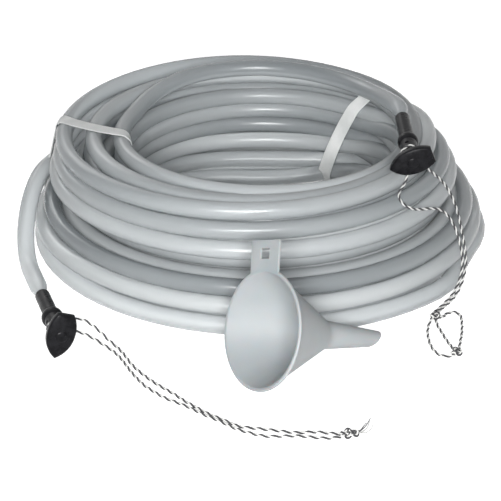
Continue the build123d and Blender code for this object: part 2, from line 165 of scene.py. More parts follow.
# Where a turn stands off its ring: middle and half width in degrees, and how far out and up, in mm
loose_turns = {(6, 2): [(95, 50, 3.0, 4.5)], (5, 2): [(-8, 28, 3.0, 0)],
               (0, 4): [(-21, 8, -9, 0), (-38, 12, 4, 0)], (0, 0): [(90, 40, -34, 0)],
               (0, 1): [(90, 38, -22, 0)], (1, 0): [(90, 38, -20, 0)], (2, 0): [(90, 34, -8, 0)],
               (3, 3): [(8, 22, 4.0, 1.0)], (1, 4): [(200, 22, 3.0, 0)]}
# Angles in degrees: where the hose comes onto the coil, its first step to a next place, how long a step
# takes, how much later it is next to a change of layer, and how far the last turn runs on
first_angle = 158.0
first_shift = 358.0
shift_arc = 44.0
shift_late = 3.0
last_turn_run = 60.0
points_per_turn = 24
# The smooth curve runs a little inside its guide points, so these stand out by this share
spline_swell = 1.0086
# How far a turn strays, in mm: two and three waves in its circle, and two waves in its height
stray_two, stray_three, stray_height = 0.7, 0.5, 0.5
random_lie = np.random.default_rng(7)


def turn_circle(layer, column):
    """Middle, radius and height of one turn's circle, in millimetres."""
    share = column / (layer_columns[layer] - 1)
    x, y, outer = layer_outline[layer]
    middle_x = inner_middle + share * (x - inner_middle)
    radius = inner_radius + share * (outer - outer_inset - inner_radius)
    return np.array([middle_x, share * y, radius, layer * layer_pitch + first_layer_height])


def standing_off(slot, degrees):
    """How far out and up a turn stands off its ring at an angle."""
    out = up = 0.0
    for middle, half_width, far, high in loose_turns.get(slot, []):
        apart = (degrees - middle + 180) % 360 - 180
        share = np.exp(-(apart / half_width) ** 2)
        out += far * share
        up += high * share
    return np.array([0, 0, out, up])


def ease(t):
    """Smooth step from 0 to 1."""
    t = np.clip(t, 0, 1)
    return t * t * (3 - 2 * t)


# The hose steps from one place to the next at about the same angle in each turn
shift_angles = [first_shift]
for before, here, after in zip(turn_order, turn_order[1:], turn_order[2:]):
    changes = before[0] != here[0] or here[0] != after[0]
    shift_angles.append(shift_angles[-1] + 360 + (shift_late if changes else 0))
whole_turns = 1 + int((shift_angles[-1] + shift_arc + last_turn_run - first_angle) // 360)
last_angle = first_angle + 360 * whole_turns
wobble = random_lie.uniform(-1, 1, (len(turn_order) + 1, 6))
coil_points = []
for degrees in np.arange(first_angle, last_angle, 360 / points_per_turn):
    turn = sum(degrees >= angle for angle in shift_angles)
    mix = ease((degrees - shift_angles[turn - 1]) / shift_arc) if turn else 1.0
    slot, old_slot = turn_order[turn], turn_order[max(turn - 1, 0)]
    new = turn_circle(*slot) + standing_off(slot, degrees)
    old = turn_circle(*old_slot) + standing_off(old_slot, degrees)
    x, y, radius, height = old + (new - old) * mix
    loose = wobble[max(turn - 1, 0)] * (1 - mix) + wobble[turn] * mix
    angle = radians(degrees)
    radius += (stray_two * loose[0] * sin(2 * angle + 3 * loose[1])
               + stray_three * loose[2] * sin(3 * angle + 3 * loose[3]))
    height += stray_height * loose[4] * sin(2 * angle + 3 * loose[5])
    radius *= spline_swell
    coil_points.append((x + radius * cos(angle), y + radius * sin(angle), height))

# Points given where the hose leaves the coil, in mm from the middle of the coil's base
right_start = [(118.33, -29.2, 113.05), (118.15, -22, 113.8), (117.2, -9, 113.6), (112.8, 9, 110.6),
               (106.5, 30, 106.4), (97.5, 53, 102.6), (84, 75, 100.4), (66, 93.5, 99.5), (44, 107.5, 99.3),
               (20, 115.8, 99.2), (-4, 117.5, 99.2), (-29, 113.5, 99.2), (-54, 103.5, 98.2),
               (-77, 88, 94.6), (-94.5, 67, 89)]
left_finish = [(-164, 53, 46), (-174, 29, 47.5), (-181.6, 5, 48), (-186.8, -26, 40), (-188.4, -54, 26),
               (-186, -76, 14.2), (-181.2, -95, 9.4), (-175.8, -114.1, 11.6), (-170, -133.2, 12.8),
               (-167.4, -141.8, 13.35), (-165, -149.6, 13.8)]
hose_route = [coil_middle + np.array(p) * mm for p in right_start + coil_points + left_finish]


def smooth_line(name, route, steps):
    """Points along the smooth curve that a given route steers."""
    data = bpy.data.curves.new(name, "CURVE")
    data.dimensions = "3D"
    data.resolution_u = steps
    spline = data.splines.new("NURBS")
    spline.points.add(len(route) - 1)
    for point, place in zip(spline.points, route):
        point.co = (*place, 1.0)
    spline.order_u = 3
    spline.use_endpoint_u = True
    guide = bpy.data.objects.new(name, data)
    scene.collection.objects.link(guide)
    bpy.context.view_layer.update()
    mesh = bpy.data.meshes.new_from_object(guide.evaluated_get(bpy.context.evaluated_depsgraph_get()))
    line = np.array([v.co for v in mesh.vertices])
    bpy.data.objects.remove(guide)
    bpy.data.meshes.remove(mesh)
    return line


def line_length(line):
    """Length so far at each point of a line."""
    steps = np.linalg.norm(np.diff(line, axis=0), axis=1)
    return np.concatenate([[0], np.cumsum(steps)])


def line_frames(line):
    """Direction and two square directions at each point of a line, turning as little as they can."""
    along = np.gradient(line, axis=0)
    along /= np.linalg.norm(along, axis=1)[:, None]
    side = np.zeros_like(line)
    nearly_up = (0.01, 0.02, 1)
    start = np.cross(along[0], nearly_up)
    side[0] = start / np.linalg.norm(start)
    for i in range(1, len(line)):
        turned = side[i - 1] - along[i] * (side[i - 1] @ along[i])
        side[i] = turned / np.linalg.norm(turned)
    return along, side, np.cross(along, side)


def tube_parts(line, radii, sides, first):
    """Points, faces and surface marks (turns round, metres along) of a tube with closed ends."""
    along, side, rise = line_frames(line)
    reach = line_length(line)
    turns = np.arange(sides) * tau / sides
    ring = side[:, None] * np.cos(turns)[None, :, None] + rise[:, None] * np.sin(turns)[None, :, None]
    rings = line[:, None] + ring * np.broadcast_to(radii, len(line))[:, None, None]
    points = np.concatenate([rings.reshape(-1, 3), line[:1], line[-1:]])
    faces, marks = [], []
    for i in range(len(line) - 1):
        for j in range(sides):
            a, b = first + i * sides + j, first + i * sides + (j + 1) % sides
            faces.append((a, b, b + sides, a + sides))
            marks += [(j / sides, reach[i]), ((j + 1) / sides, reach[i]), ((j + 1) / sides, reach[i + 1]),
                      (j / sides, reach[i + 1])]
    low, high = first + len(line) * sides, first + len(line) * sides + 1
    last = first + (len(line) - 1) * sides
    for j in range(sides):
        k = (j + 1) % sides
        faces += [(low, first + k, first + j), (high, last + j, last + k)]
        marks += [(j / sides, 0.0)] * 3 + [(j / sides, reach[-1])] * 3
    return points, faces, marks


def tube_piece(name, tubes, slots=None):
    """One piece made of tubes, each given as line, radii and sides, with its own surface marks."""
    points, faces, marks, paints = [], [], [], []
    for number, (line, radii, sides) in enumerate(tubes):
        more_points, more_faces, more_marks = tube_parts(line, radii, sides, len(points))
        points.extend(more_points)
        faces += more_faces
        marks += more_marks
        paints += [slots[number] if slots else 0] * len(more_faces)
    piece = plain_mesh(name, points, faces)
    layer = piece.data.uv_layers.new(name="along")
    layer.data.foreach_set("uv", np.array(marks, dtype=np.float32).ravel())
    piece.data.polygons.foreach_set("material_index", paints)
    return piece


# Both ends narrow into the valves' sleeves
hose_line = smooth_line("hose_line", hose_route, 3)
hose_reach = line_length(hose_line)
neck_radius = 0.0042
taper_start, taper_length = 0.001, 0.017
hose_sides = 22
to_end = np.minimum(hose_reach, hose_reach[-1] - hose_reach)
hose_radii = neck_radius + (hose_radius - neck_radius) * ease((to_end - taper_start) / taper_length)
hose = tube_piece("hose", [(hose_line, hose_radii, hose_sides)])


def cloud_group():
    """Shared effect: a cloudy value between two limits, and the cloud itself, over a piece's surface."""
    group = bpy.data.node_groups.new("cloud", "ShaderNodeTree")
    for name in ("Scale", "Low", "High"):
        group.interface.new_socket(name, in_out="INPUT", socket_type="NodeSocketFloat")
    for name in ("Value", "Cloud"):
        group.interface.new_socket(name, in_out="OUTPUT", socket_type="NodeSocketFloat")
    given = group.nodes.new("NodeGroupInput")
    result = group.nodes.new("NodeGroupOutput")
    place = group.nodes.new("ShaderNodeTexCoord")
    noise = group.nodes.new("ShaderNodeTexNoise")
    noise.inputs["Detail"].default_value = 3.0
    limits = group.nodes.new("ShaderNodeMapRange")
    limits.inputs["From Min"].default_value = 0.3
    limits.inputs["From Max"].default_value = 0.7
    group.links.new(place.outputs["Object"], noise.inputs["Vector"])
    group.links.new(given.outputs["Scale"], noise.inputs["Scale"])
    group.links.new(noise.outputs["Fac"], limits.inputs["Value"])
    group.links.new(given.outputs["Low"], limits.inputs["To Min"])
    group.links.new(given.outputs["High"], limits.inputs["To Max"])
    group.links.new(limits.outputs["Result"], result.inputs["Value"])
    group.links.new(noise.outputs["Fac"], result.inputs["Cloud"])
    return group


cloud_nodes = cloud_group()


def add_cloud(tree, scale, low=0.0, high=1.0):
    """The cloud effect, placed in one material."""
    node = tree.nodes.new("ShaderNodeGroup")
    node.node_tree = cloud_nodes
    for name, value in (("Scale", scale), ("Low", low), ("High", high)):
        node.inputs[name].default_value = value
    return node


def add_bump(tree, shader, height, distance):
    """Bump of a given depth, in metres, on the shader."""
    bump = tree.nodes.new("ShaderNodeBump")
    bump.inputs["Distance"].default_value = distance
    bump.inputs["Strength"].default_value = 1.0
    tree.links.new(height, bump.inputs["Height"])
    tree.links.new(bump.outputs["Normal"], shader.inputs["Normal"])


def add_ramp(tree, value, stops):
    """Colour that follows a value between stops of (place, colour)."""
    ramp = tree.nodes.new("ShaderNodeValToRGB")
    while len(ramp.color_ramp.elements) < len(stops):
        ramp.color_ramp.elements.new(0.5)
    for element, (place, color) in zip(ramp.color_ramp.elements, stops):
        element.position = place
        element.color = (*color, 1)
    tree.links.new(value, ramp.inputs["Fac"])
    return ramp.outputs["Color"]


def add_cloudy_finish(tree, shader, scale, smoothest, roughest, tints=None):
    """Roughness, and a tint where stops are given, that follow one cloud."""
    cloud = add_cloud(tree, scale, smoothest, roughest)
    tree.links.new(cloud.outputs["Value"], shader.inputs["Roughness"])
    if tints:
        tree.links.new(add_ramp(tree, cloud.outputs["Cloud"], tints), shader.inputs["Base Color"])


def drawn_out_group():
    """Shared effect: noise drawn out along the marks of a piece's own surface."""
    group = bpy.data.node_groups.new("drawn_out", "ShaderNodeTree")
    group.interface.new_socket("Stretch", in_out="INPUT", socket_type="NodeSocketVector")
    group.interface.new_socket("Detail", in_out="INPUT", socket_type="NodeSocketFloat")
    group.interface.new_socket("Value", in_out="OUTPUT", socket_type="NodeSocketFloat")
    given = group.nodes.new("NodeGroupInput")
    result = group.nodes.new("NodeGroupOutput")
    marks = group.nodes.new("ShaderNodeUVMap")
    marks.uv_map = "along"
    mapping = group.nodes.new("ShaderNodeMapping")
    noise = group.nodes.new("ShaderNodeTexNoise")
    noise.inputs["Scale"].default_value = 1.0
    group.links.new(marks.outputs["UV"], mapping.inputs["Vector"])
    group.links.new(given.outputs["Stretch"], mapping.inputs["Scale"])
    group.links.new(mapping.outputs["Vector"], noise.inputs["Vector"])
    group.links.new(given.outputs["Detail"], noise.inputs["Detail"])
    group.links.new(noise.outputs["Fac"], result.inputs["Value"])
    return group


drawn_out_nodes = drawn_out_group()


def add_drawn_out(tree, stretch, detail):
    """The drawn-out noise, placed in one material."""
    node = tree.nodes.new("ShaderNodeGroup")
    node.node_tree = drawn_out_nodes
    node.inputs["Stretch"].default_value = stretch
    node.inputs["Detail"].default_value = detail
    return node.outputs["Value"]


hose_clear, hose_tree, hose_shader = new_material("clear_hose", (0.6, 0.63, 0.65), 0.27)
long_change = add_drawn_out(hose_tree, (0.6, 1.1, 1), 3.0)
hose_color = add_ramp(hose_tree, long_change,
                      [(0.36, (0.36, 0.39, 0.405)), (0.62, (0.80, 0.83, 0.84))])
hose_tree.links.new(hose_color, hose_shader.inputs["Base Color"])
draw_lines = add_drawn_out(hose_tree, (9, 5, 1), 2.0)
add_bump(hose_tree, hose_shader, draw_lines, 0.0004)
hose_shader.inputs["Specular IOR Level"].default_value = 0.3
hose_shader.inputs["Transmission Weight"].default_value = 0.5
hose.data.materials.append(hose_clear)
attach(hose, "hose_level")
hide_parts("hose_coil", "left_hose_end", "right_hose_end")

# The packing straps: two pale plastic bands with a waffle pattern, each pulled tight round the bundle.
# The ends are lapped on the outside, where the band is double, and welded together.
strap_width = 0.0125
strap_thickness = 0.0009
strap_edge = 0.0002
strap_gap = 0.0002
strap_step = 0.0025
least_height = 0.0012
floor_clearance = 0.0001
lap_reach = 0.8
lap_low, lap_high = 0.03, 0.06
# How late a strap turns from its foot's angle to its top's angle on its way up
turn_late = 2.2
# Angles round the coil of each strap's inner foot, inner top, outer top and outer foot, in degrees, and
# how many metres of the hose's start and of its end lie free of it
strap_places = {"left_strap": ((189, 188.5, 171, 168), 0.0, 0.42),
                "right_strap": ((56, 43.5, 35, 34), 0.36, 0.0)}


def heading(yaw, pitch):
    """Unit vector that points yaw degrees round from +X and pitch degrees up."""
    return np.array([cos(radians(yaw)) * cos(radians(pitch)), sin(radians(yaw)) * cos(radians(pitch)),
                     sin(radians(pitch))])


def convex_outline(points):
    """Corners of the convex outline round flat points, anticlockwise."""
    points = sorted(map(tuple, points))
    halves = []
    for ordered in (points, points[::-1]):
        half = []
        for point in ordered:
            while len(half) > 1:
                (ax, ay), (bx, by) = half[-2:]
                if (bx - ax) * (point[1] - ay) - (by - ay) * (point[0] - ax) > 1e-12:
                    break
                half.pop()
            half.append(point)
        halves += half[:-1]
    return np.array(halves)


def even_loop(corners, spacing):
    """Points a set distance apart round a closed outline."""
    closed = np.concatenate([corners, corners[:1]])
    reach = line_length(closed)
    marks = np.linspace(0, reach[-1], int(reach[-1] / spacing), endpoint=False)
    return np.stack([np.interp(marks, reach, closed[:, k]) for k in range(closed.shape[1])], 1)


def band_faces(count, corner_count):
    """Faces of a closed band whose section has some corners."""
    faces = []
    for i in range(count):
        here, ahead = i * corner_count, (i + 1) % count * corner_count
        for j in range(corner_count):
            k = (j + 1) % corner_count
            faces.append((here + j, ahead + j, ahead + k, here + k))
    return faces


strap_paint, strap_tree, strap_shader = new_material("strap_plastic", (0.74, 0.75, 0.74), 0.38)
add_cloudy_finish(strap_tree, strap_shader, 60, 0.3, 0.5,
                  [(0.3, (0.70, 0.72, 0.71)), (0.7, (0.84, 0.85, 0.84))])
strap_marks = strap_tree.nodes.new("ShaderNodeUVMap")
strap_marks.uv_map = "along"
waffle = strap_tree.nodes.new("ShaderNodeTexBrick")
waffle.inputs["Scale"].default_value = 420.0
waffle.inputs["Mortar Size"].default_value = 0.12
waffle.inputs["Brick Width"].default_value = 0.6
waffle.inputs["Row Height"].default_value = 0.5
strap_tree.links.new(strap_marks.outputs["UV"], waffle.inputs["Vector"])
add_bump(strap_tree, strap_shader, waffle.outputs["Fac"], 0.00008)


def hose_crossings(held, angle):
    """Where the hose crosses a half plane at an angle: distances from the axis, and heights."""
    outward = heading(angle, 0)
    off_plane = held @ np.cross((0, 0, 1), outward)
    crosses = np.nonzero(np.diff(np.sign(off_plane)))[0]
    share = off_plane[crosses] / (off_plane[crosses] - off_plane[crosses + 1])
    centres = held[crosses] + (held[crosses + 1] - held[crosses]) * share[:, None]
    flat = np.stack([centres @ outward, centres[:, 2]], 1)
    return flat[flat[:, 0] > 0]


def unit_rows(rows):
    """Rows of numbers as unit vectors."""
    return rows / np.linalg.norm(rows, axis=1)[:, None]


axis = coil_middle + np.array([inner_middle, 0, 0]) * mm
straight_up = np.array([0, 0, 1])
half_width = strap_width / 2
strap_section = [(0, -half_width + strap_edge), (strap_thickness - strap_edge, -half_width),
                 (strap_thickness, -half_width + strap_edge), (strap_thickness, half_width - strap_edge),
                 (strap_thickness - strap_edge, half_width), (0, half_width - strap_edge)]
for name, (corner_angles, free_start, free_end) in strap_places.items():
    # The hose that the strap holds, cut at the angle of each of the strap's four corners
    held = hose_line[(hose_reach > free_start) & (hose_reach < hose_reach[-1] - free_end)] - axis
    crossings = [hose_crossings(held, angle) for angle in corner_angles]
    middle_reach, middle_height = crossings[0][:, 0].mean(), crossings[0][:, 1].mean()
    flat = np.concatenate([
        found[((found[:, 0] > middle_reach) == far) & ((found[:, 1] > middle_height) == high)]
        for found, far, high in zip(crossings, (False, False, True, True), (False, True, True, False))])
    round_hose = np.arange(24) * tau / 24
    ring = np.stack([np.cos(round_hose), np.sin(round_hose)], 1) * (hose_radius + strap_gap)
    loop = even_loop(convex_outline((flat[:, None] + ring[None]).reshape(-1, 2)), strap_step)
    loop[:, 1] = np.maximum(loop[:, 1], least_height)
    loop = (np.roll(loop, 1, 0) + 2 * loop + np.roll(loop, -1, 0)) / 4
    # The loop is turned out of its plane, so that each corner comes to its own angle
    ahead = np.roll(loop, -1, 0) - np.roll(loop, 1, 0)
    square = unit_rows(np.stack([ahead[:, 1], -ahead[:, 0]], 1))
    out, up = ((loop - loop.min(0)) / np.ptp(loop, axis=0)).T
    inner_foot, inner_top, outer_top, outer_foot = corner_angles
    up = up ** turn_late
    inner_angles = inner_foot * (1 - up) + inner_top * up
    outer_angles = outer_foot * (1 - up) + outer_top * up
    away = np.array([heading(angle, 0) for angle in (1 - out) * inner_angles + out * outer_angles])
    middle = axis + away * loop[:, :1] + straight_up * loop[:, 1:]
    forward = np.roll(middle, -1, 0) - np.roll(middle, 1, 0)
    outside = away * square[:, :1] + straight_up * square[:, 1:]
    across = unit_rows(np.cross(forward, outside))
    outside = unit_rows(np.cross(across, forward))
    lapped = (out > lap_reach) & (loop[:, 1] > lap_low) & (loop[:, 1] < lap_high)
    points = [at + normal * rise * (2 if double else 1) + side * sideways
              for at, normal, side, double in zip(middle, outside, across, lapped)
              for rise, sideways in strap_section]
    points = [(x, y, max(z, floor_clearance)) for x, y, z in points]
    corner_count = len(strap_section)
    strap = plain_mesh(name + "_band", points, band_faces(len(middle), corner_count))
    layer = strap.data.uv_layers.new(name="along")
    for corner in strap.data.loops:
        station, place = divmod(corner.vertex_index, corner_count)
        layer.data[corner.index].uv = (station * strap_step, strap_section[place][1])
    strap.data.set_sharp_from_angle(angle=radians(40))
    strap.data.materials.append(strap_paint)
    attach(strap, "hose_level")
    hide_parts(name)

# The closing valves: black moulded sleeves, bodies with a round housing and a waist, grey turning
# plugs with two rubber rings, and a clip in the mouth. A sleeve clamps the hose's end on the nipple.
black_paint, black_tree, black_shader = new_material("moulded_black", (0.014, 0.014, 0.016), 0.36)
black_shader.inputs["Specular IOR Level"].default_value = 0.09
add_cloudy_finish(black_tree, black_shader, 220, 0.24, 0.46,
                  [(0.35, (0.006, 0.006, 0.007)), (0.75, (0.015, 0.015, 0.017))])
add_bump(black_tree, black_shader, add_cloud(black_tree, 1500).outputs["Cloud"], 0.00006)
plug_paint, plug_tree, plug_shader = new_material("turned_grey", (0.42, 0.43, 0.44), 0.3)
add_cloudy_finish(plug_tree, plug_shader, 300, 0.22, 0.4)
seal_paint, seal_tree, seal_shader = new_material("seal_rubber", (0.02, 0.02, 0.02), 0.55)
add_cloudy_finish(seal_tree, seal_shader, 500, 0.45, 0.65)
valve_paints = {"valve_sleeve": black_paint, "valve_body": black_paint, "retaining_clip": black_paint,
                "valve_plug": plug_paint, "plug_seals": seal_paint}
for side in ("left", "right"):
    for kind, paint in valve_paints.items():
        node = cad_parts[f"{side}_{kind}"]
        node.data.materials.clear()
        node.data.materials.append(paint)

# The leaf handles: one thick black leaf on each valve, pointed at one end and cut off at the other,
# crowned on its front with two ribs by the cut. The plug's stem is riveted over in its middle.
# Stations are measured along the valve from the sleeve's mouth, in mm
ball_station = 42.0
hub_station = 68.8
hub_height = 1.4
hub_radius = 5.6
leaf_tip = 18.5
leaf_blunt = 17.0
leaf_half_width = 10.7
leaf_cut_half_width = 6.3
leaf_back = hub_station + hub_height
leaf_rim = 76.0
leaf_crown = 77.4
ridge_height, ridge_half_width = 0.5, 5.0
rivet_radius = 4.5
turned_sides = 32
rib_places = (-1.6, 1.6)
rib_corners = [(-15.8, -0.35), (-6.5, -0.35), (-6.5, 0.35), (-15.8, 0.35)]
# Each valve's ball, in mm from the middle of the coil's base, and its yaw, pitch and leaf's turn, in degrees
valve_places = {"left": ((-152.7, -190.5, 16.46), 286.8, 3.5, 251.0),
                "right": ((120.0, -73.0, 109.8), 272.2, -4.65, 201.8)}


def valve_frame(side):
    """Middle of the sleeve's mouth, in mm, and the ways towards the leaf's tip, across it and along."""
    ball, yaw, pitch, turn = valve_places[side]
    along = heading(yaw, pitch)
    level = np.cross((0, 0, 1), along)
    level /= np.linalg.norm(level)
    tip_way = level * cos(radians(turn)) + np.cross(along, level) * sin(radians(turn))
    return np.array(ball) - along * ball_station, tip_way, np.cross(along, tip_way), along


def arc_through(start, middle, end, count):
    """Points of the arc through three flat points, without its last point."""
    (ax, ay), (bx, by), (cx, cy) = start, middle, end
    a, b, c = ax ** 2 + ay ** 2, bx ** 2 + by ** 2, cx ** 2 + cy ** 2
    d = 2 * (ax * (by - cy) + bx * (cy - ay) + cx * (ay - by))
    ux = (a * (by - cy) + b * (cy - ay) + c * (ay - by)) / d
    uy = (a * (cx - bx) + b * (ax - cx) + c * (bx - ax)) / d
    radius = sqrt((ax - ux) ** 2 + (ay - uy) ** 2)
    first, last = atan2(ay - uy, ax - ux), atan2(cy - uy, cx - ux)
    middle_angle = atan2(by - uy, bx - ux)
    sweep = (last - first) % tau
    if (middle_angle - first) % tau > sweep:
        sweep -= tau
    return [(ux + radius * cos(first + sweep * k / count), uy + radius * sin(first + sweep * k / count))
            for k in range(count)]


def leaf_outline():
    """Leaf outline, anticlockwise from the tip, which lies towards +X."""
    widest = (-1.5, leaf_half_width)
    upper = arc_through((leaf_tip, 0), (leaf_tip * 0.48, leaf_half_width * 0.8), widest, 14)
    back = arc_through(widest, (-leaf_blunt * 0.55, leaf_half_width * 0.92),
                       (-leaf_blunt, leaf_cut_half_width), 8)
    cut = [(-leaf_blunt, leaf_cut_half_width * k / 3) for k in (3, 2, 1, 0)]
    half = upper + back + cut
    return np.array(half + [(x, -y) for x, y in half[-2:0:-1]])


# Rings of the leaf from its back to its front: share of the outline, and station
leaf_section = [(0.90, leaf_back), (0.97, leaf_back + 0.3), (1.0, leaf_back + 1.1), (1.0, leaf_rim - 1.4),
                (0.985, leaf_rim - 0.6), (0.95, leaf_rim - 0.1), (0.90, leaf_rim + 0.2),
                (0.75, leaf_rim + 0.75), (0.55, leaf_rim + 1.15), (0.34, leaf_crown)]
# Profiles of the turned parts: radius, and station
hub_profile = [(0, hub_station), (hub_radius - 0.3, hub_station), (hub_radius, hub_station + 0.3),
               (hub_radius, leaf_back + 0.5), (0, leaf_back + 0.5)]
rivet_profile = [(0, leaf_crown - 1), (rivet_radius, leaf_crown - 1), (rivet_radius, leaf_crown + 0.1),
                 (rivet_radius - 0.3, leaf_crown + 0.4), (2.2, leaf_crown + 0.75), (0, leaf_crown + 0.85)]


def ring_faces(first, rings, count):
    """Faces between rings of points that follow one another, from a first point."""
    faces = []
    for i in range(rings - 1):
        here, ahead = first + i * count, first + (i + 1) * count
        for j in range(count):
            k = (j + 1) % count
            faces.append((here + j, here + k, ahead + k, ahead + j))
    return faces


def leaf_parts():
    """Points and faces of the leaf with its hub, ribs and rivet head, in the valve's own frame."""
    outline = leaf_outline()
    count, rings = len(outline), len(leaf_section)
    points = []
    for share, station in leaf_section:
        nearness = np.clip(1 - np.abs(outline[:, 1]) / ridge_half_width, 0, 1)
        ridge = ridge_height * nearness * (station > leaf_rim)
        points += [(x * share, y * share, station + lift) for (x, y), lift in zip(outline, ridge)]
    faces = ring_faces(0, rings, count)
    front = len(points)
    points += [(0, 0, leaf_crown + 0.1), (0, 0, leaf_back)]
    for j in range(count):
        k = (j + 1) % count
        faces += [(front, (rings - 1) * count + j, (rings - 1) * count + k), (front + 1, k, j)]
    for profile in (hub_profile, rivet_profile):
        faces += ring_faces(len(points), len(profile), turned_sides)
        points += [(radius * cos(tau * j / turned_sides), radius * sin(tau * j / turned_sides), station)
                   for radius, station in profile for j in range(turned_sides)]
    for rib_y in rib_places:
        first = len(points)
        points += [(x, rib_y + y, leaf_rim - 0.5) for x, y in rib_corners]
        points += [(x * 0.985, rib_y + y * 0.6, leaf_rim + (1.5 if x > -10 else 1.0)) for x, y in rib_corners]
        faces += [(first + 3, first + 2, first + 1, first), (first + 4, first + 5, first + 6, first + 7)]
        faces += ring_faces(first, 2, 4)
    return np.array(points), faces


leaf_paint, leaf_tree, leaf_shader = new_material("leaf_black", (0.012, 0.012, 0.014), 0.26)
leaf_shader.inputs["Specular IOR Level"].default_value = 0.09
add_cloudy_finish(leaf_tree, leaf_shader, 180, 0.2, 0.38,
                  [(0.35, (0.005, 0.005, 0.006)), (0.75, (0.012, 0.012, 0.014))])
add_bump(leaf_tree, leaf_shader, add_cloud(leaf_tree, 1200).outputs["Cloud"], 0.00005)
leaf_points, leaf_faces = leaf_parts()
for side in ("left", "right"):
    mouth, *valve_ways = valve_frame(side)
    placed = mouth + leaf_points @ np.array(valve_ways)
    leaf = plain_mesh(f"{side}_leaf", coil_middle + placed * mm, leaf_faces)
    cleaned = bmesh.new()
    cleaned.from_mesh(leaf.data)
    bmesh.ops.remove_doubles(cleaned, verts=cleaned.verts, dist=1e-7)
    bmesh.ops.dissolve_degenerate(cleaned, edges=cleaned.edges, dist=1e-7)
    bmesh.ops.recalc_face_normals(cleaned, faces=cleaned.faces)
    cleaned.to_mesh(leaf.data)
    cleaned.free()
    leaf.data.set_sharp_from_angle(angle=radians(38))
    leaf.data.materials.append(leaf_paint)
    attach(leaf, f"{side}_handle")
    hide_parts(f"{side}_leaf_handle")

# The hanging cords: two cords on each valve, each of one black and one white strand twisted together,
# 2.2 mm thick. They leave a turn round the valve's waist and end in knots, frayed at the left.
cord_radius = 0.0011
strand_radii = (0.00074, 0.0006)
strand_offset = 0.0005
strand_step = 0.0008
strand_sides = 7
twist_length = 0.0085
# How much further round each next line of a piece starts its twist, in radians
twist_lead = 1.3
# The turn round the waist: its station along the valve, its radius and the cords' gap from it, in mm
tie_station = 61.5
tie_radius = 7.4
tie_gap = 0.4
black_yarn, yarn_tree, yarn_shader = new_material("black_yarn", (0.03, 0.03, 0.033), 0.8)
white_yarn, pale_tree, pale_shader = new_material("white_yarn", (0.82, 0.82, 0.80), 0.8)
for tree, shader, dark, pale in ((yarn_tree, yarn_shader, (0.016, 0.016, 0.018), (0.06, 0.06, 0.065)),
                                 (pale_tree, pale_shader, (0.62, 0.62, 0.60), (0.84, 0.84, 0.82))):
    fibres = add_drawn_out(tree, (7, 900, 1), 2.0)
    tree.links.new(add_ramp(tree, fibres, [(0.3, dark), (0.7, pale)]), shader.inputs["Base Color"])
    add_bump(tree, shader, fibres, 0.0002)
    shader.inputs["Sheen Weight"].default_value = 0.25


def even_points(line, spacing):
    """Points of a line, a set distance apart."""
    reach = line_length(line)
    marks = np.linspace(0, reach[-1], max(4, int(reach[-1] / spacing)))
    return np.stack([np.interp(marks, reach, line[:, k]) for k in range(3)], 1)


def twisted_strands(line, turned):
    """Two strands twisted round a line, as tubes, the black one first."""
    line = even_points(line, strand_step)
    along, side, rise = line_frames(line)
    phase = turned + tau * line_length(line) / twist_length
    strands = []
    for number, radius in enumerate(strand_radii):
        turn = (phase + pi * number)[:, None]
        offset = strand_offset * (side * np.cos(turn) + rise * np.sin(turn))
        strands.append((line + offset, radius, strand_sides))
    return strands


def finish_cord(piece):
    """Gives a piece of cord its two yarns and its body."""
    piece.data.materials.append(black_yarn)
    piece.data.materials.append(white_yarn)
    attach(piece, "hose_level")
    return piece


def twisted_cord(name, lines):
    """Piece of twisted cord along one or more lines."""
    strands = []
    for number, line in enumerate(lines):
        strands += twisted_strands(line, number * twist_lead)
    return finish_cord(tube_piece(name, strands, [0, 1] * len(lines)))


def tie_point(side, toward):
    """Point just outside the turn round the waist, facing the cord's next point, in mm."""
    mouth, tip_way, across, along = valve_frame(side)
    middle = mouth + along * tie_station
    away = np.array(toward) - middle
    away -= along * (away @ along)
    return middle + away / np.linalg.norm(away) * (tie_radius + cord_radius / mm + tie_gap)


def knot_line(middle, size, turned):
    """Line of a pulled-up overhand knot round a middle, in mm."""
    t = np.linspace(0, tau, 90)
    knot = np.stack([np.sin(t) + 2 * np.sin(2 * t), np.cos(t) - 2 * np.cos(2 * t), -np.sin(3 * t)], 1)
    turn = np.array([[cos(turned), sin(turned), 0], [-sin(turned), cos(turned), 0], [0, 0, 1]])
    return np.array(middle) + (knot * size / 3) @ turn


def waist_turn(side):
    """Line of the cord's turn round a valve's waist, in mm."""
    mouth, tip_way, across, along = valve_frame(side)
    t = np.linspace(0, tau, 60)[:, None]
    return mouth + along * tie_station + tie_radius * (tip_way * np.cos(t) + across * np.sin(t))


def in_frame(line):
    """A line measured in mm from the coil's middle, in the part's frame in metres."""
    return coil_middle + np.asarray(line) * mm
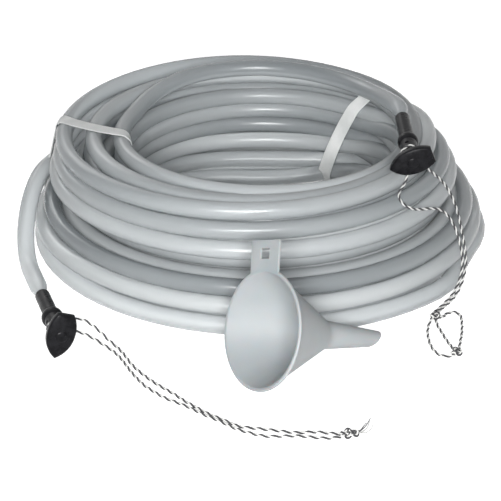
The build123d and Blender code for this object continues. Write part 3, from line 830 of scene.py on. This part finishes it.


# Points given along the photographed cords, in mm from the middle of the coil's base
left_upper = [(-133.4, -205.3, 25.2), (-124.5, -204.5, 20.8), (-116, -204.8, 12.8), (-108.5, -207.5, 5.6),
              (-102, -213.5, 3.4), (-96.8, -223.2, 3.5), (-90.5, -236.5, 2.2), (-81.1, -249.2, 1.2),
              (-73.4, -259, 1.2), (-65.8, -267.3, 1.2), (-57.6, -275.5, 1.2), (-50.1, -284.9, 1.2),
              (-44, -290.6, 1.2), (-33.9, -301, 1.2), (-26.8, -306.2, 1.2), (-19.8, -311.4, 1.2),
              (-11.4, -318.6, 1.2), (-2.8, -320, 1.2), (11, -322.6, 1.2), (21.9, -325.1, 1.2),
              (32.2, -326.3, 1.2), (39.8, -324.6, 1.2), (52.1, -327.3, 1.6), (58.5, -330, 2.6)]
left_lower = [(-131.5, -204.5, 12.5), (-121.5, -205.8, 7.8), (-112.5, -209.3, 3.2), (-105.2, -215, 1.3),
              (-98.6, -226, 1.2), (-91.7, -242.2, 1.2), (-85.9, -253.4, 1.2), (-79.5, -264.5, 1.2),
              (-71.9, -272.7, 1.2), (-64.4, -280.9, 1.2), (-55.5, -286.6, 1.2), (-45.8, -293.8, 1.2),
              (-35.9, -303, 1.2), (-28.8, -308.2, 1.2), (-21.8, -313.6, 1.2), (-13.4, -321.4, 1.2),
              (-4.1, -326.3, 1.2), (7.5, -331.4, 1.2), (21.9, -330.1, 1.2), (31.4, -330.1, 1.2),
              (43, -332.6, 1.2), (53, -333.6, 1.6), (58.8, -333.4, 2.6)]
right_far = [(134.2, -90, 95.3), (140.8, -85, 87.5), (147.6, -79.5, 79.6), (153.2, -74.6, 70.4),
             (158, -74.5, 61.2), (161.4, -79.5, 52.4), (163.4, -87.5, 45.3), (164.6, -94, 39.6),
             (166.5, -102, 29.4), (167, -110, 20.3), (163.8, -120.4, 12), (158.6, -130.6, 5.4),
             (151.2, -141, 2.6), (143.6, -151, 2.2), (138.6, -163.5, 2.4), (138.8, -175, 2.2),
             (141.2, -186, 2.2), (143.4, -197, 2.2), (146.4, -208.4, 2.4), (148.4, -216.5, 3.2)]
right_near = [(119.2, -95, 92.5), (116, -101.5, 85.6), (111.2, -108.8, 82.8), (111.5, -115.6, 79.7),
              (115.2, -119.8, 76.8), (120.9, -120, 73.9), (126.8, -113.8, 70.3), (136, -105.8, 67.6),
              (145.6, -98, 63.4), (151.9, -94.2, 56.5), (157.2, -93.8, 48), (161, -97.6, 39.5),
              (163.6, -104.6, 29.6), (164, -112.6, 20.3), (161, -121.4, 11.4), (155.4, -131, 5.2),
              (148.2, -140.6, 2.6), (140.6, -151.4, 1.6), (136, -159.3, 2.6), (135.6, -165.6, 4.0),
              (140.2, -168.8, 5.2), (144.6, -165.4, 3.6), (146.2, -159.4, 1.7), (148.8, -154.8, 1.3),
              (153.2, -152.8, 1.3), (157.2, -155.2, 1.3), (158.8, -160, 1.3), (158.7, -165.5, 1.3),
              (158, -176, 1.3), (156.6, -187.5, 1.3), (154.4, -198.5, 1.3), (152.7, -208, 1.3),
              (150.8, -216.5, 1.8), (147, -220.8, 1.6), (140.2, -222, 1.3), (135.2, -217.6, 1.3),
              (132.3, -210.2, 1.3), (130.9, -201, 1.3), (130.5, -191, 1.3), (131.2, -181, 1.3),
              (133, -172.4, 1.8), (135.6, -166.5, 3.2)]
# Each cord's valve, route and the nodes it stands for
cord_routes = {"left_upper": ("left", left_upper, ("left_cord_upper",)),
               "left_lower": ("left", left_lower, ("left_cord_lower", "left_cord_run")),
               "right_far": ("right", right_far, ("right_cord_far", "right_cord_pair")),
               "right_near": ("right", right_near,
                              ("right_cord_near", "right_cord_loop", "right_cord_bight"))}
left_knot = twisted_cord("left_end_knot", [in_frame(knot_line((62.9, -331.7, 4.2), 4.2, 0.4)),
                                           in_frame(knot_line((66.6, -331.2, 4.3), 3.9, 1.5))])
right_knot = twisted_cord("right_bunch_knots", [in_frame(knot_line((138.6, -165.4, 4.6), 4.0, 0.2)),
                                                in_frame(knot_line((149.2, -219.6, 4.4), 3.9, 0.9))])
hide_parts("left_cord_knot")
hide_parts("right_cord_knot")
frayed_ends = [
    [(69.5, -330, 4.6), (71.8, -327, 3.4), (74.2, -323, 2.2), (77.6, -315.4, 1.0), (80.6, -306, 0.8)],
    [(69.5, -330.8, 4.0), (72.6, -328, 2.6), (75.6, -323.4, 1.4), (78.6, -317, 0.8), (79.6, -310, 0.8)],
    [(69, -329.4, 3.4), (71.4, -325.6, 1.8), (73.4, -321.4, 0.9), (75, -317, 0.8), (77.2, -313, 0.8)],
    [(69.6, -331.4, 4.8), (73.2, -329.6, 3.0), (77.4, -325.6, 1.2), (80.4, -320.6, 0.8), (81.8, -315, 0.8)]]
fray_root, fray_tip, fray_sides = 0.0006, 0.00028, 6
tails = [smooth_line("fray", [in_frame(p) for p in route], 6) for route in frayed_ends]
tail_tubes = [(line, np.linspace(fray_root, fray_tip, len(line)), fray_sides) for line in tails]
fray = finish_cord(tube_piece("left_frayed_ends", tail_tubes, [0, 1, 0, 1]))
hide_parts("left_cord_tail")

# The pieces on each side's cords
ends = {"left": [left_knot, fray], "right": [right_knot]}
for side in ("left", "right"):
    tie = twisted_cord(f"{side}_waist_turn", [in_frame(waist_turn(side))])
    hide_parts(f"{side}_cord_tie")
    ends[side].append(tie)
for name, (side, route, nodes) in cord_routes.items():
    route = [tie_point(side, route[0])] + route
    line = smooth_line(name, [in_frame(p) for p in route], 8)
    piece = twisted_cord(name + "_cord", [line])
    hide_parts(*nodes)

# The filling funnel: one moulding of milky plastic that lies loose on its rim and its spout's end. A
# round bead stiffens the rim, the spout's end is cut at a slant, and a flat tab hangs it on a nail.
# Radii, lengths and stations from the mouth are in mm
funnel_rim = 43.1
funnel_neck = 11.0
funnel_tip = 5.9
cone_length = 56.6
funnel_length = 111.0
funnel_wall = 1.5
funnel_bead = 1.2
funnel_yaw = 32.5
rim_on_floor = (-7.8, -261.9)
tip_cut_angle = 38.0
tab_width = 32.0
tab_reach = 21.5
tab_thickness = 1.6
tab_edge = 0.25
tab_corner = 1.5
tab_turn = 24.0
# The tab's root lies inside the rim's bead, and its hole a little beyond the middle
root_inset = 0.7
hole_shift = 1.0
hole_half_reach = 3.78
hole_half_width = 5.13
funnel_sides = 128
# The funnel lies on its bead and on the lowest point of its slanting end, which gives its tilt
drop = 2 * funnel_tip * tan(radians(tip_cut_angle))
tip_low_station = funnel_length - drop
tip_low_radius = funnel_tip + (funnel_neck - funnel_tip) / (funnel_length - cone_length) * drop
lean_across, lean_along = funnel_rim - tip_low_radius, tip_low_station - funnel_bead
tilt = atan2(lean_across, lean_along) + asin(funnel_bead / sqrt(lean_across ** 2 + lean_along ** 2))
outward = -heading(funnel_yaw, 0) * cos(tilt) + straight_up * sin(tilt)
uphill = straight_up - outward * outward[2]
uphill /= np.linalg.norm(uphill)
mouth_middle = np.array([*rim_on_floor, funnel_bead]) + uphill * funnel_rim + outward * funnel_bead
funnel_axes = np.array([uphill, np.cross(outward, uphill), outward])

# The wall's half section: radius and station. The spout runs past its end here, and the cut trims it
spout_end = -funnel_length - 2
neck_bore = funnel_neck - funnel_wall
outer = [(funnel_tip - 0.2, spout_end), (funnel_neck - 0.6, -cone_length - 5),
         (funnel_neck - 0.1, -cone_length - 1.2), (funnel_neck + 0.7, -cone_length + 0.7),
         (funnel_neck + 3, -cone_length + 4.6), (funnel_rim - 1.3, -2.4)]
bead = [(funnel_rim + funnel_bead * cos(a), -funnel_bead + funnel_bead * sin(a))
        for a in np.linspace(-1.2, 1.9, 9)]
inner = [(funnel_rim - funnel_wall, -0.5), (neck_bore + 2, -cone_length + 4.4),
         (neck_bore, -cone_length + 0.8), (neck_bore - 0.4, -cone_length - 2),
         (funnel_tip - funnel_wall - 0.2, spout_end)]
profile = outer + bead + inner
points = [(r * cos(tau * k / funnel_sides), r * sin(tau * k / funnel_sides), s)
          for r, s in profile for k in range(funnel_sides)]
wall = plain_mesh("funnel_wall", points, ring_faces(0, len(profile), funnel_sides))
shape = bmesh.new()
shape.from_mesh(wall.data)
cut_way = Vector((-sin(radians(tip_cut_angle)), 0, -cos(radians(tip_cut_angle))))
cut = bmesh.ops.bisect_plane(shape, geom=shape.verts[:] + shape.edges[:] + shape.faces[:],
                             plane_co=(funnel_tip, 0, -funnel_length), plane_no=cut_way, clear_outer=True)
bmesh.ops.bridge_loops(shape, edges=[e for e in cut["geom_cut"] if isinstance(e, bmesh.types.BMEdge)])
bmesh.ops.recalc_face_normals(shape, faces=shape.faces)
shape.to_mesh(wall.data)
shape.free()


def flat_plate(name, loops, thickness, edge):
    """Mesh of a flat plate with holes and softened edges."""
    data = bpy.data.curves.new(name, "CURVE")
    data.dimensions = "2D"
    data.fill_mode = "BOTH"
    data.extrude = thickness / 2 - edge
    data.bevel_depth = edge
    data.bevel_resolution = 1
    data.offset = -edge
    for loop in loops:
        spline = data.splines.new("POLY")
        spline.points.add(len(loop) - 1)
        for point, (x, y) in zip(spline.points, loop):
            point.co = (x, y, 0, 1)
        spline.use_cyclic_u = True
    plate = bpy.data.objects.new(name, data)
    scene.collection.objects.link(plate)
    bpy.context.view_layer.update()
    mesh = bpy.data.meshes.new_from_object(plate.evaluated_get(bpy.context.evaluated_depsgraph_get()))
    bpy.data.objects.remove(plate)
    return mesh


def rounded_corner(x, y, radius, first):
    """Quarter round about a corner's inner point, from an angle in degrees."""
    return [(x + radius * cos(radians(first + a)), y + radius * sin(radians(first + a)))
            for a in (0, 30, 60, 90)]


root_radius = funnel_rim - root_inset
root_half = asin(tab_width / 2 / root_radius)
root = [(root_radius * cos(a), root_radius * sin(a)) for a in np.linspace(root_half, -root_half, 13)]
corner_reach = funnel_rim + tab_reach - tab_corner
corner_side = tab_width / 2 - tab_corner
tab_loop = root + rounded_corner(corner_reach, -corner_side, tab_corner, -90)
tab_loop += rounded_corner(corner_reach, corner_side, tab_corner, 0)
hole_at = funnel_rim + tab_reach / 2 + hole_shift
hole_near, hole_far = hole_at - hole_half_reach, hole_at + hole_half_reach
hole_loop = [(hole_near, -hole_half_width), (hole_near, hole_half_width), (hole_far, hole_half_width),
             (hole_far, -hole_half_width)]
tab = flat_plate("tab", [tab_loop, hole_loop], tab_thickness, tab_edge)
spin = radians(tab_turn)
tab_points = np.array([v.co for v in tab.vertices])
tab_points[:, 2] -= tab_thickness / 2
tab_points = tab_points @ np.array([[cos(spin), sin(spin), 0], [-sin(spin), cos(spin), 0], [0, 0, 1]])
wall_points = np.array([v.co for v in wall.data.vertices])
faces = [tuple(p.vertices) for p in wall.data.polygons]
faces += [tuple(v + len(wall_points) for v in p.vertices) for p in tab.polygons]
bpy.data.objects.remove(wall)
points = in_frame(mouth_middle + np.concatenate([wall_points, tab_points]) @ funnel_axes)
funnel = plain_mesh("funnel_moulding", points, faces)
shape = bmesh.new()
shape.from_mesh(funnel.data)
bmesh.ops.remove_doubles(shape, verts=shape.verts, dist=1e-6)
bmesh.ops.recalc_face_normals(shape, faces=shape.faces)
shape.to_mesh(funnel.data)
shape.free()
funnel.data.set_sharp_from_angle(angle=radians(35))
funnel_paint, funnel_tree, funnel_shader = new_material("milky_plastic", (0.50, 0.53, 0.545), 0.34)
add_cloudy_finish(funnel_tree, funnel_shader, 14, 0.42, 0.56,
                  [(0.3, (0.31, 0.335, 0.35)), (0.7, (0.41, 0.435, 0.445))])
add_bump(funnel_tree, funnel_shader, add_cloud(funnel_tree, 500).outputs["Cloud"], 0.00005)
funnel_shader.inputs["Specular IOR Level"].default_value = 0.3
funnel_shader.inputs["Subsurface Weight"].default_value = 0.25
funnel_shader.inputs["Subsurface Scale"].default_value = 0.004
funnel.data.materials.append(funnel_paint)
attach(funnel, "funnel")
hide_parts("funnel")
